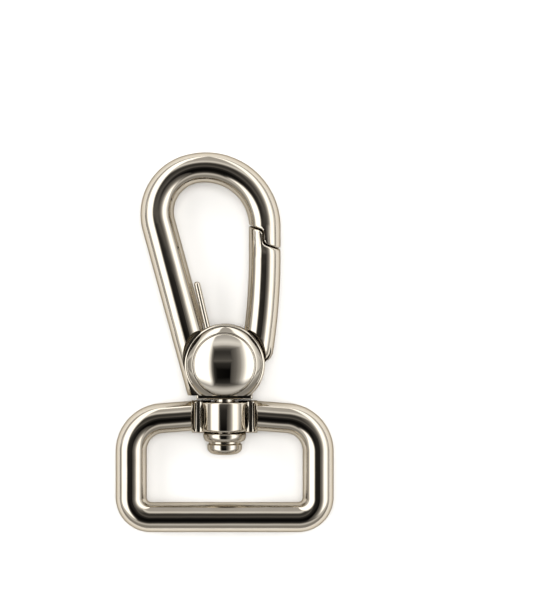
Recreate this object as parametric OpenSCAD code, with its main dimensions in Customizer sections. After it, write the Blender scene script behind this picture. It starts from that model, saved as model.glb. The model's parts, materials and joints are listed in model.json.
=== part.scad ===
// Swivel snap hook for a 25 mm strap, lying flat with its bow towards +Y.
// The origin is under the middle of the hook, on the surface that it lies on.
// Every module below is drawn about the gate's pivot, and seat() moves it into place.

/* [Bow] */
// Diameter of the bar at the nose, and of the gate
bar_d = 5.1; // [4.6:0.1:5.4]
// Diameter of the bar at the crown of the bow
crown_d = 4.8; // [4.4:0.1:5.2]
// Diameter of the arm, down to the hub
arm_d = 5.5; // [5.1:0.1:5.7]
// Distance of the gate's line from the swivel's axis
gate_x = 6.45; // [5.85:0.1:7.15]
// Height of the wide arc's centre above the pivot
bow_rise = 22.1; // [20:0.1:26]
// Radius of the wide arc on the gate's side, to the middle of the bar
wide_r = 9.55; // [9:0.05:11]
// Radius of the tight arc on the arm's side, to the middle of the bar
tight_r = 7.25; // [6.6:0.05:7.9]
// Direction in which the two arcs meet, from the gate's side
crown_deg = 103; // [95:1:112]
// Slant of the arm away from the swivel's axis
arm_deg = 15.3; // [14:0.1:17]

/* [Latch] */
// Distance from the pivot to the seam on the outer half of the bar
seam_low_r = 20.65; // [19:0.05:21]
// Length of the gate's inner tongue past that seam
tongue_reach = 2.05; // [1:0.05:2.4]
// Sideways place of the step in the seam, from the gate's line
step_shift = 0; // [-0.5:0.1:0.5]
// Width of the seam between gate and nose
seam_gap = 0.2; // [0.15:0.05:0.4]

/* [Gate] */
// Radius of the bend that leads the gate into the hub
gate_bend_r = 100; // [80:5:140]
// Height above the pivot at which that bend starts
gate_bend_y = 17.5; // [14:0.5:18]
// Height above the pivot at which the gate's bar ends in the hub
gate_foot_y = 2.3; // [1.8:0.1:3]
// Outer radius of the gate's eye
eye_r = 3.5; // [3.2:0.1:3.8]
// Thickness of the floor under the spring
eye_floor_t = 0.6; // [0.4:0.05:0.9]
// Furthest swing of the gate
gate_swing_deg = 26; // [20:1:27]

/* [Hub] */
// Radius of the round boss on each face
boss_r = 6.5; // [6.2:0.1:6.8]
// Radius of the rounded edge of the boss
boss_edge_r = 0.8; // [0.4:0.1:0.8]
// Radius of the sloping ring on the boss
ring_r = 5.85; // [5.4:0.05:5.9]
// Height of that ring
ring_h = 0.6; // [0.3:0.1:0.7]
// Thickness of each cheek beside the gate's eye
cheek_t = 1.3; // [1.2:0.1:1.6]
// Half thickness of the arm's root in the recess round the boss
recess_floor_z = 1.8; // [1.5:0.1:2.1]
// Room between the boss and the foot of the recess wall
recess_gap = 0.1; // [0.05:0.05:0.3]
// Width of the sloping recess wall
recess_wall_w = 0.85; // [0.5:0.05:1]
// Side clearance of the gate's eye in its slot
slot_side_gap = 0.1; // [0.05:0.01:0.2]
// Clearance round the gate's eye in its slot
slot_round_gap = 0.25; // [0.2:0.05:0.4]

/* [Pivot] */
// Radius of the pivot's shank
pivot_r = 0.8; // [0.7:0.05:0.9]
// Radius of both domes
dome_r = 4.95; // [4.6:0.05:5.1]
// Height of the straight rim under each dome
dome_rim_h = 0.3; // [0.15:0.05:0.5]
// Height of the rounded part of the front dome
dome_h = 1.7; // [1.5:0.1:2.6]
// Height of the sloping part of the rear dome, which is flat on top
rear_h = 0.6; // [0.4:0.05:1]
// Radius of that flat, on which the hook lies
rear_flat_r = 4.1; // [3.5:0.1:4.4]
// Depth of the shank's seat in the rear dome
pivot_seat_h = 0.6; // [0.4:0.05:0.65]

/* [Spring] */
// Diameter of the spring's wire
wire_d = 1; // [0.8:0.05:1.1]
// Whole turns of the coil, besides the part turn between its ends
coil_turns = 1; // [1:1:2]
// Distance from the pivot to the end of the fixed leg
leg_reach = 14; // [11:0.5:15]
// Length of the moving leg in the gate
short_leg = 3.6; // [3:0.1:4]

/* [Swivel] */
// Half width of the foot under the hub, which faces the barrel
foot_w = 4.5; // [4:0.1:4.8]
// Half thickness of the foot
foot_z = 2.3; // [2:0.1:2.4]
// Length of the foot below the hub
foot_t = 0.65; // [0.55:0.05:0.9]
// Radius of the foot's corners
foot_corner_r = 0.4; // [0.2:0.1:0.5]
// Axial play between foot and barrel
swivel_play = 0.4; // [0.3:0.05:0.6]
// Radius of the rivet's shank
shank_r = 1.6; // [1.4:0.05:1.7]
// Radius of the washer
washer_r = 3.45; // [3.2:0.05:3.7]
// Thickness of the washer
washer_t = 1.4; // [1.1:0.1:1.8]
// Play between barrel and washer
washer_play = 0.2; // [0.15:0.05:0.3]
// Radius of the rivet's head
head_r = 2.8; // [2.4:0.1:3]
// Thickness of the rivet's head
head_t = 2.1; // [1.8:0.1:2.6]
// Depth of the groove between washer and rivet's head
head_groove = 0.25; // [0.15:0.05:0.4]
// Radius of the washer's rounded edges
washer_edge_r = 0.5; // [0.3:0.05:0.5]

/* [Strap loop] */
// Diameter of the shoulders and of the lower bar
loop_d = 4.8; // [4.4:0.1:5]
// Diameter of the two side bars
side_d = 5; // [4.6:0.1:5.3]
// Clear width of the strap opening
strap_w = 25.1; // [24:0.1:28]
// Distance from the middle of the barrel to the middle of the lower bar
loop_drop = 16.2; // [15:0.05:20]
// Slope of the shoulders down to the corners
shoulder_deg = 4.3; // [3:0.1:6]
// Radius of the upper corners, to the middle of the bar
upper_corner_r = 5.3; // [4.5:0.1:6]
// Radius of the lower corners, to the middle of the bar
lower_corner_r = 3.2; // [2.8:0.1:4]
// Radius of the barrel
barrel_r = 3.8; // [3.5:0.1:4.1]
// Height of the barrel
barrel_h = 4.8; // [4.5:0.1:5.2]
// Size of the chamfer on the barrel's edges
barrel_edge = 0.3; // [0.1:0.05:0.5]
// Radius of the cuffs beside the barrel
cuff_r = 2.55; // [2.5:0.01:2.6]
// Distance from the swivel's axis to the end of each cuff
cuff_x = 5.2; // [4.8:0.1:5.6]

/* [Hidden] */
$fn = 96;

// Clearances of the round fits
running_gap = 0.05;
wire_gap = 0.08;
end_gap = 0.05;
coil_gap = 0.03;
leg_off_deg = 2.2;
cuff_grip = 0.6;
foot_rise = 1;
shoulder_lift = 0.5;
bore_floor_t = 0.45;
far = 60;

// Bow, from the two arc centres and the arm's slant
bar_r = bar_d / 2;
crown_r = crown_d / 2;
arm_r = arm_d / 2;
wide_c = [gate_x - wide_r, bow_rise];
tight_c = wide_c + (wide_r - tight_r) * [cos(crown_deg), sin(crown_deg)];
arm_top = tight_c - tight_r * [cos(arm_deg), sin(arm_deg)];
bow_top_y = wide_c[1] + wide_r + crown_r;
bar_sides = 24;
bend_step_deg = 7.5;

// Latch, as circles about the pivot that let the gate swing clear
seam_high_r = seam_low_r + tongue_reach;
step_x = gate_x + step_shift;

// Gate, whose bar ends inside the hub
gate_bend_deg = asin((gate_bend_y - gate_foot_y) / gate_bend_r);
gate_bend_c = [gate_x - gate_bend_r, gate_bend_y];
gate_root = [gate_bend_c[0] + gate_bend_r * cos(gate_bend_deg), gate_foot_y];
root_deg = atan2(gate_root[1], gate_root[0]);
root_r = bar_r - 0.25;
eye_lean_deg = asin((eye_r - root_r) / norm(gate_root));

// Spring and eye, stacked from the gate's floor up to the front cheek
coil_r = pivot_r + wire_gap + wire_d / 2;
leg_deg = 90 + arm_deg - leg_off_deg;
coil_in_deg = 270 + root_deg;
coil_out_deg = leg_deg + 90;
coil_sweep_deg = 360 * coil_turns + coil_in_deg - coil_out_deg;
coil_rise = (wire_d + coil_gap) * coil_sweep_deg / 360;
chamber_h = coil_rise + wire_d + 2 * end_gap;
chamber_r = coil_r + wire_d / 2 + 0.25;
eye_t = chamber_h + eye_floor_t;
eye_z = eye_t / 2;
chamber_z = eye_z - chamber_h;
coil_low_z = chamber_z + end_gap + wire_d / 2;
coil_high_z = coil_low_z + coil_rise;
leg_room = wire_d / 2 + 0.15;

// Hub, with the gate's eye between two cheeks
slot_z = eye_z + slot_side_gap;
boss_z = slot_z + cheek_t;
plate_z = boss_z - ring_h;
slot_r = eye_r + slot_round_gap;
dome_sphere_r = (dome_r * dome_r + dome_h * dome_h) / (2 * dome_h);

// Swivel, stacked downwards from the foot of the hub
neck_y = 5;
arm_foot_y = -neck_y - 1;
foot_y = neck_y + foot_t;
barrel_top_y = foot_y + swivel_play;
barrel_mid_y = barrel_top_y + barrel_h / 2;
washer_top_y = barrel_top_y + barrel_h + washer_play;
head_top_y = washer_top_y + washer_t;
head_foot_y = head_top_y + head_t;
shank_bore_y = slot_r + bore_floor_t;
shank_tip_y = shank_bore_y + end_gap;

// Strap loop, drawn as the line through the middle of its bar
loop_r = loop_d / 2;
side_r = side_d / 2;
side_x = strap_w / 2 + side_r;
low_y = barrel_mid_y + loop_drop;
shoulder_x = cuff_x - cuff_grip;
shoulder_y = barrel_mid_y - shoulder_lift + shoulder_x * tan(shoulder_deg);
upper_x = side_x - upper_corner_r;
upper_y = shoulder_y + upper_corner_r * cos(shoulder_deg)
    + (upper_x + upper_corner_r * sin(shoulder_deg) - shoulder_x) * tan(shoulder_deg);
lower_x = side_x - lower_corner_r;
lower_y = low_y - lower_corner_r;
loop_foot_y = low_y + loop_r;
seat_y = (loop_foot_y - bow_top_y) / 2;
seat_z = max(boss_z + dome_rim_h + rear_h, barrel_r);

function unit(v) = v / norm(v);

// Direction, and the normal to its left
function along(deg) = [cos(deg), sin(deg)];
function left_of(deg) = [-sin(deg), cos(deg)];

// Where the arm's middle line crosses a height
function arm_x(y) = arm_top[0] + (arm_top[1] - y) * tan(arm_deg);

// Moves a shape from the pivot's frame to the frame of the whole hook
module seat() {
    translate([0, seat_y, seat_z]) children();
}

// The same shape on the front and on the rear face
module both_faces() {
    children();
    mirror([0, 0, 1]) children();
}

// Part of a ring of round bar in the XY plane
module bar_arc(centre, ring_r, section_r, from_deg, sweep_deg) {
    translate([centre[0], centre[1], 0])
        rotate_extrude(angle = sweep_deg, start = from_deg)
            translate([ring_r, 0]) circle(r = section_r);
}

// Straight round bar in the XY plane, from a point, in a direction
module bar_line(from, deg, length, r_from, r_to) {
    translate([from[0], from[1], 0])
        rotate([0, 0, deg]) rotate([0, 90, 0])
            cylinder(h = length, r1 = r_from, r2 = r_to);
}

// Bar of changing radius along a line of points, as rings joined by walls
module swept_bar(line, radii, sides) {
    last = len(line) - 1;
    rings = [for (i = [0:last])
        let (ahead = unit(line[min(i + 1, last)] - line[max(i - 1, 0)]),
             side = unit(cross(ahead, [0, 0, 1])), up = cross(side, ahead))
        for (k = [0:sides - 1])
            line[i] + radii[i] * (cos(360 * k / sides) * side + sin(360 * k / sides) * up)];
    walls = [for (i = [0:last - 1], k = [0:sides - 1])
        let (a = i * sides + k, b = i * sides + (k + 1) % sides)
        [a, b, b + sides, a + sides]];
    first_end = [for (k = [0:sides - 1]) sides - 1 - k];
    last_end = [for (k = [0:sides - 1]) last * sides + k];
    polyhedron(points = rings, faces = concat([first_end], walls, [last_end]));
}

// Turned piece about the swivel's axis, from a height down to another
module turned_down(top_y, foot_y, r) {
    translate([0, -top_y, 0]) rotate([90, 0, 0])
        cylinder(h = foot_y - top_y, r = r);
}

// Space inside the latch's seam, drawn back by half the gap for the gate
module latch_zone(back) {
    linear_extrude(height = 2 * far, center = true) intersection() {
        union() {
            circle(r = seam_low_r - back, $fn = 180);
            intersection() {
                circle(r = seam_high_r - back, $fn = 180);
                translate([step_x - back - far, 0]) square([far, far]);
            }
        }
        translate([0, -far / 2]) square([far, 2 * far]);
    }
}

// Ring-shaped recess with a sloping wall that frees the boss
module hub_recess(floor_z) {
    both_faces() translate([0, 0, floor_z])
        cylinder(h = arm_r - floor_z + 0.2, r1 = boss_r + recess_gap,
                 r2 = boss_r + recess_gap + recess_wall_w);
}

// Round boss with rounded edges and a sloping ring on each face, as thick as eye and cheeks
module boss() {
    inner_r = boss_r - boss_edge_r;
    rotate_extrude() {
        translate([0, -plate_z]) square([inner_r, 2 * plate_z]);
        translate([0, boss_edge_r - plate_z]) square([boss_r, 2 * (plate_z - boss_edge_r)]);
        for (side = [-1, 1])
            translate([inner_r, side * (plate_z - boss_edge_r)]) circle(r = boss_edge_r);
        polygon([[0, -boss_z], [dome_r, -boss_z], [ring_r, -plate_z],
                 [ring_r, plate_z], [dome_r, boss_z], [0, boss_z]]);
    }
}

// Foot that joins hub and swivel, with rounded corners towards the barrel
module foot() {
    inner_w = foot_w - foot_corner_r;
    linear_extrude(height = 2 * foot_z, center = true) {
        translate([-inner_w, -foot_y]) square([2 * inner_w, foot_y]);
        translate([-foot_w, foot_corner_r - foot_y]) square([2 * foot_w, foot_t + foot_rise]);
        for (side = [-1, 1])
            translate([side * inner_w, foot_corner_r - foot_y]) circle(r = foot_corner_r);
    }
}

// Outline that joins the eye to the end of the gate's bar
module eye_outline() {
    high_deg = root_deg + 90 - eye_lean_deg;
    low_deg = root_deg - 90 + eye_lean_deg;
    circle(r = eye_r);
    translate(gate_root) circle(r = root_r);
    polygon([eye_r * along(high_deg), gate_root + root_r * along(high_deg),
             gate_root + root_r * along(low_deg), eye_r * along(low_deg)]);
}

// Slot between the cheeks, open where the gate and the spring's leg come out
module gate_slot() {
    low_deg = root_deg - 90 + eye_lean_deg;
    leg_edge = coil_r + leg_room;
    linear_extrude(height = 2 * slot_z, center = true) {
        circle(r = slot_r);
        intersection() {
            circle(r = boss_r + recess_gap + recess_wall_w);
            polygon([[0, 0], slot_r * along(low_deg), slot_r * along(low_deg) + far * along(low_deg + 90),
                     [far, far], leg_edge * left_of(leg_deg) + far * along(leg_deg),
                     leg_edge * left_of(leg_deg)]);
        }
    }
}

// Middle line of the bow, from the nose over the crown and down the arm
wide_steps = ceil(crown_deg / bend_step_deg);
tight_steps = ceil((180 + arm_deg - crown_deg) / bend_step_deg);
nose_line = [[gate_x, seam_low_r - 2 * bar_r]];
wide_line = [for (i = [0:wide_steps]) wide_c + wide_r * along(crown_deg * i / wide_steps)];
tight_line = [for (i = [1:tight_steps])
    tight_c + tight_r * along(crown_deg + (180 + arm_deg - crown_deg) * i / tight_steps)];
arm_line = [for (part = [0.5, 1])
    let (y = arm_top[1] + part * (arm_foot_y - arm_top[1]))
    [arm_x(y), y]];
bow_line = concat(nose_line, wide_line, tight_line, arm_line);
bow_radii = concat([bar_r],
    [for (i = [0:wide_steps]) bar_r + (crown_r - bar_r) * i / wide_steps],
    [for (i = [1:tight_steps]) crown_r + (arm_r - crown_r) * i / tight_steps],
    [arm_r, arm_r]);

// Bow, arm and nose as one swept bar, with the recess cut round the hub
module hook_bar() {
    bore_room = shank_r + 0.4;
    difference() {
        swept_bar([for (p = bow_line) [p[0], p[1], 0]], bow_radii, bar_sides);
        latch_zone(-seam_gap / 2);
        hub_recess(recess_floor_z);
        translate([-bore_room, -far, -far / 2]) cube([2 * bore_room, far, far]);
    }
}

// Cast hook with its hub, bored for the pivot and for the swivel's rivet
module hook_body() {
    color("#cdc6b8") seat() difference() {
        union() {
            difference() {
                union() {
                    hook_bar();
                    boss();
                    linear_extrude(height = 2 * recess_floor_z, center = true)
                        polygon([[arm_x(eye_r), eye_r], [arm_x(-neck_y), -neck_y],
                                 [foot_w, -neck_y], [0, 0]]);
                }
                translate([-far / 2, -far - neck_y, -far / 2]) cube(far);
            }
            foot();
        }
        gate_slot();
        cylinder(h = 2 * far, r = pivot_r + running_gap, center = true);
        turned_down(shank_bore_y, foot_y + 1, shank_r);
    }
}

// Gate, with a chamber for the coil and windows for both of its legs
module gate() {
    leg_clear = leg_room + 0.05;
    swung_deg = leg_deg - gate_swing_deg;
    color("#d2cbbd") seat() difference() {
        union() {
            difference() {
                intersection() {
                    union() {
                        bar_line([gate_x, gate_bend_y], 90, seam_high_r - gate_bend_y + 1, bar_r, bar_r);
                        bar_arc(gate_bend_c, gate_bend_r, bar_r, -gate_bend_deg, gate_bend_deg);
                    }
                    latch_zone(seam_gap / 2);
                }
                hub_recess(eye_z);
            }
            linear_extrude(height = eye_t, center = true) eye_outline();
        }
        cylinder(h = 2 * far, r = pivot_r + running_gap, center = true);
        translate([0, 0, chamber_z]) cylinder(h = far, r = chamber_r);
        rotate([0, 0, root_deg]) translate([0, -coil_r - leg_room, chamber_z])
            cube([short_leg + leg_room, 2 * leg_room, far]);
        translate([0, 0, coil_high_z - leg_clear]) linear_extrude(height = far)
            polygon([(coil_r + leg_clear) * left_of(leg_deg),
                     (coil_r + leg_clear) * left_of(leg_deg) + 2 * eye_r * along(leg_deg),
                     (coil_r - leg_clear) * left_of(swung_deg) + 2 * eye_r * along(swung_deg),
                     (coil_r - leg_clear) * left_of(swung_deg)]);
    }
}

// Middle line of the spring's wire: short leg, coil, long leg
coil_steps = ceil(coil_sweep_deg / 22.5);
leg_length = sqrt(leg_reach * leg_reach - coil_r * coil_r);
leg_start = coil_r * left_of(leg_deg);
coil_line = [for (i = [0:coil_steps])
    let (deg = coil_in_deg - coil_sweep_deg * i / coil_steps)
    [coil_r * cos(deg), coil_r * sin(deg), coil_low_z + coil_rise * i / coil_steps]];
leg_ends = [for (cut = [1, 0.4, 0.1, 0])
    let (p = leg_start + (leg_length - cut * wire_d / 2) * along(leg_deg))
    [p[0], p[1], coil_high_z]];
short_end = coil_r * along(coil_in_deg) + short_leg * along(root_deg);
spring_line = concat([[short_end[0], short_end[1], coil_low_z]], coil_line, leg_ends);
spring_radii = [for (i = [0:len(spring_line) - 1])
    wire_d / 2 * (i < len(spring_line) - 4 ? 1 : [1, 0.8, 0.44, 0.1][i - len(spring_line) + 4])];

// Torsion spring, wound round the pivot
module gate_spring() {
    color("#b9b4aa") seat() swept_bar(spring_line, spring_radii, 10);
}

// Rivet with a low dome on a straight rim, which stands on the front face of the boss
module pivot_rivet() {
    color("#ded8cc") seat() {
        translate([0, 0, boss_z]) {
            cylinder(h = dome_rim_h, r = dome_r);
            intersection() {
                translate([0, 0, dome_rim_h + dome_h - dome_sphere_r]) sphere(r = dome_sphere_r);
                translate([0, 0, dome_rim_h]) cylinder(h = dome_h, r = dome_r);
            }
        }
        translate([0, 0, -boss_z - pivot_seat_h])
            cylinder(h = 2 * boss_z + pivot_seat_h + dome_rim_h / 2, r = pivot_r);
    }
}

// Flattened dome on the rear face, with a blind seat for the rivet's shank
module rear_dome() {
    color("#ded8cc") seat() mirror([0, 0, 1]) difference() {
        translate([0, 0, boss_z]) {
            cylinder(h = dome_rim_h, r = dome_r);
            translate([0, 0, dome_rim_h]) cylinder(h = rear_h, r1 = dome_r, r2 = rear_flat_r);
        }
        cylinder(h = boss_z + pivot_seat_h, r = pivot_r);
    }
}

// Middle line of the loop's right half, from the cuff round to the lower bar
upper_steps = ceil((90 - shoulder_deg) / bend_step_deg);
lower_steps = ceil(90 / bend_step_deg);
half_line = concat([[shoulder_x, -shoulder_y]],
    [for (i = [0:upper_steps])
        [upper_x, -upper_y] + upper_corner_r * along((90 - shoulder_deg) * (1 - i / upper_steps))],
    [for (i = [0:lower_steps]) [lower_x, -lower_y] + lower_corner_r * along(-90 * i / lower_steps)]);
half_radii = concat([loop_r],
    [for (i = [0:upper_steps]) loop_r + (side_r - loop_r) * i / upper_steps],
    [for (i = [0:lower_steps]) side_r + (loop_r - side_r) * i / lower_steps]);
half_last = len(half_line) - 1;
loop_line = [for (i = [0:2 * half_last + 1])
    i <= half_last ? [half_line[i][0], half_line[i][1], 0]
                   : [-half_line[2 * half_last + 1 - i][0], half_line[2 * half_last + 1 - i][1], 0]];
loop_radii = [for (i = [0:2 * half_last + 1]) half_radii[i <= half_last ? i : 2 * half_last + 1 - i]];

// Barrel with chamfered edges
module barrel() {
    translate([0, -barrel_mid_y, 0]) rotate([90, 0, 0]) {
        cylinder(h = barrel_h - 2 * barrel_edge, r = barrel_r, center = true);
        both_faces() translate([0, 0, barrel_h / 2 - barrel_edge])
            cylinder(h = barrel_edge, r1 = barrel_r, r2 = barrel_r - barrel_edge);
    }
}

// Rounded loop with a barrel and a cuff on each side of it, cast in one piece
module strap_loop() {
    color("#d6d0c4") seat() difference() {
        union() {
            swept_bar(loop_line, loop_radii, bar_sides);
            translate([-cuff_x, -barrel_mid_y, 0]) rotate([0, 90, 0]) cylinder(h = 2 * cuff_x, r = cuff_r);
            barrel();
        }
        turned_down(barrel_top_y - 1, washer_top_y, shank_r + running_gap);
    }
}

// Washer with rounded edges, loose on the rivet's shank
module swivel_washer() {
    inner_r = washer_r - washer_edge_r;
    color("#c4bdb0") seat() translate([0, -washer_top_y, 0]) rotate([90, 0, 0]) difference() {
        rotate_extrude() {
            square([inner_r, washer_t]);
            translate([0, washer_edge_r]) square([washer_r, washer_t - 2 * washer_edge_r]);
            for (y = [washer_edge_r, washer_t - washer_edge_r])
                translate([inner_r, y]) circle(r = washer_edge_r);
        }
        cylinder(h = far, r = shank_r + running_gap, center = true);
    }
}

// Rivet whose shank passes washer and barrel and is pressed into the foot
module swivel_rivet() {
    round_r = head_t / 2;
    color("#c9c2b5") seat() {
        turned_down(shank_tip_y, head_top_y, shank_r);
        translate([0, -head_top_y, 0]) rotate([90, 0, 0]) rotate_extrude() {
            square([head_r - round_r, head_t]);
            square([head_r - head_groove, head_groove]);
            translate([0, head_groove]) square([head_r, head_t - head_groove - round_r]);
            translate([head_r - round_r, head_t - round_r]) circle(r = round_r);
        }
    }
}

hook_body();
gate();
gate_spring();
pivot_rivet();
rear_dome();
strap_loop();
swivel_washer();
swivel_rivet();
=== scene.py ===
"""Swivel snap hook for 25 mm webbing: polished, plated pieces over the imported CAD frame."""

import json
import logging
import math
from dataclasses import dataclass, field
from enum import Enum

import bmesh
import bpy
from mathutils import Matrix, Vector


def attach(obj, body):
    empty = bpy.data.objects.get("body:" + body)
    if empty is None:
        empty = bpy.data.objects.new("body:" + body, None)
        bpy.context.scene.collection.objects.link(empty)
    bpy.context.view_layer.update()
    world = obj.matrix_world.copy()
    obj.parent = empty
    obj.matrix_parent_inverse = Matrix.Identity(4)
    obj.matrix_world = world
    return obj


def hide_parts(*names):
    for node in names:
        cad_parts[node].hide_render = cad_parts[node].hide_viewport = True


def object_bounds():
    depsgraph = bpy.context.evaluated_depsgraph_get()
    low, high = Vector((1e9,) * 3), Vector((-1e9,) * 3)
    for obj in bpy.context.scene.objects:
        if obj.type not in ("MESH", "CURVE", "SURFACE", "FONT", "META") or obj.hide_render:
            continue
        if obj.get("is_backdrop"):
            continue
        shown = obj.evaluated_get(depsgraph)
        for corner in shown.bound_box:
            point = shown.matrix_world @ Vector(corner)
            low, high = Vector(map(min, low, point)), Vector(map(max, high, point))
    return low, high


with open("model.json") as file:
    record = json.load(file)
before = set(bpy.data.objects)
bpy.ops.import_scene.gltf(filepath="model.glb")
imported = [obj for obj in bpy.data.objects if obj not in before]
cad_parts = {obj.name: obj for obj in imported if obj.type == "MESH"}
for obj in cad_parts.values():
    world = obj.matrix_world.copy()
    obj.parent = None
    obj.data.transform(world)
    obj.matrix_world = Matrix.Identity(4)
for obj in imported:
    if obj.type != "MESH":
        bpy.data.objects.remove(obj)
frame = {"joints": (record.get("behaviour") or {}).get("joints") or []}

Pair = tuple[float, float]
Colour = tuple[float, float, float, float]

MM = 0.001
UP = Vector((0.0, 0.0, 1.0))
# Front and rear face, or right and left half
BOTH = (1, -1)
# Number of parts that a whole turn is divided into
BAR_SIDES = 72
WIRE_SIDES = 24
ROD_STEPS = 48
CUFF_STEPS = 96
LATHE_STEPS = 128
FINE_STEPS = 160
# Points nearer to each other than this are joined, in millimetres
WELD = 1e-5
SLIVER = 0.004
# Width of the rounding on most edges, in millimetres
EDGE_EASE = 0.1
EDGE_SEGMENTS = 4
SHARP_ANGLE_DEG = 38.0
# Places of the colour sockets in a mix node
MIX_FIRST = 6
MIX_SECOND = 7
MIX_RESULT = 2
log = logging.getLogger("snap_hook")


class Body(Enum):
    """Bodies of the CAD frame that the pieces ride on."""

    HOOK = "hook"
    GATE = "gate"
    LOOP = "loop"


class Slot(Enum):
    """Material slots of the record."""

    CAST = "cast_nickel"
    DOME = "dome_nickel"
    TURNED = "turned_nickel"
    SPRING = "spring_steel"


class Cut(Enum):
    """Ways in which one solid works on another."""

    AWAY = "DIFFERENCE"
    WITHIN = "INTERSECT"
    JOIN = "UNION"


class Mix(Enum):
    """Ways in which one colour works on another."""

    PLAIN = "MIX"
    MASK = "MULTIPLY"
    BRIGHTER = "LIGHTEN"


def joint_place(name: str) -> Vector:
    """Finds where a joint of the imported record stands.

    Args:
        name: the joint's name.
    Returns:
        Its place in the row frame, in metres.
    """
    joint = next(j for j in frame["joints"] if j["name"] == name)
    return Vector(joint["pos_m"])


PIVOT = joint_place("gate_pivot")
SEAT = Matrix.Translation(PIVOT) @ Matrix.Scale(MM, 4)


def cosine(deg: float) -> float:
    """Gives the cosine of an angle in degrees."""
    return math.cos(math.radians(deg))


def sine(deg: float) -> float:
    """Gives the sine of an angle in degrees."""
    return math.sin(math.radians(deg))


def direction(deg: float) -> Vector:
    """Gives the unit vector in the XY plane at an angle from +X towards +Y, in degrees."""
    return Vector((cosine(deg), sine(deg), 0.0))


def in_plane(corners: list[Pair]) -> list[Vector]:
    """Turns pairs of X and Y into points of the middle plane."""
    return [Vector((x, y, 0.0)) for x, y in corners]


def arc(
    centre: Vector, radius: float, start_deg: float, end_deg: float, steps: int
) -> list[Vector]:
    """Places points along an arc in the XY plane, both ends included.

    Args:
        centre: middle of the arc.
        radius: its radius.
        start_deg: angle of the first point.
        end_deg: angle of the last point.
        steps: number of equal steps between them.
    Returns:
        The points in order.
    """
    return [
        centre + radius * direction(start_deg + (end_deg - start_deg) * i / steps)
        for i in range(steps + 1)
    ]


def circle(radius: float, steps: int) -> list[Vector]:
    """Places points evenly on a circle about the pivot, the first one towards +X."""
    return arc(Vector(), radius, 0, 360 - 360 / steps, steps - 1)


def blend(start: float, end: float, steps: int) -> list[float]:
    """Spaces values evenly from the first to the last, both included, in equal steps."""
    return [start + (end - start) * i / steps for i in range(steps + 1)]


def linear_channel(value: float) -> float:
    """Turns one sRGB channel, from 0 to 1, into its linear value."""
    return value / 12.92 if value <= 0.04045 else ((value + 0.055) / 1.055) ** 2.4


def linear_colour(hex_code: str) -> Colour:
    """Turns an sRGB hex code into linear RGBA.

    Args:
        hex_code: six hex digits.
    Returns:
        Linear red, green, blue, and an alpha of 1.
    """
    red, green, blue = (linear_channel(int(hex_code[i : i + 2], 16) / 255) for i in (0, 2, 4))
    return (red, green, blue, 1.0)


def fill(tree: bpy.types.NodeTree, socket: bpy.types.NodeSocket, value: object) -> None:
    """Links an input to an output socket, or gives it a plain value.

    Args:
        tree: the node tree.
        socket: the input.
        value: an output socket, a number or a colour.
    """
    if isinstance(value, bpy.types.NodeSocket):
        tree.links.new(value, socket)
    else:
        socket.default_value = value


def add_node(tree: bpy.types.NodeTree, kind: str, **inputs: object) -> bpy.types.Node:
    """Adds a node and fills in its inputs.

    Args:
        tree: the node tree.
        kind: the node's type name.
        inputs: socket name with underscores for spaces, and a value or an output socket.
    Returns:
        The new node.
    """
    node = tree.nodes.new(kind)
    for name, value in inputs.items():
        fill(tree, node.inputs[name.replace("_", " ")], value)
    return node


def mix(
    tree: bpy.types.NodeTree, way: Mix, share: object, first: object, second: object
) -> bpy.types.NodeSocket:
    """Mixes two colours.

    Args:
        tree: the node tree.
        way: how the second colour works on the first.
        share: how much it does so, as a number or an output socket.
        first: a colour or an output socket.
        second: a colour or an output socket.
    Returns:
        The mixed colour.
    """
    node = tree.nodes.new("ShaderNodeMix")
    node.data_type = "RGBA"
    node.blend_type = way.value
    fill(tree, node.inputs["Factor"], share)
    fill(tree, node.inputs[MIX_FIRST], first)
    fill(tree, node.inputs[MIX_SECOND], second)
    return node.outputs[MIX_RESULT]


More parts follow.
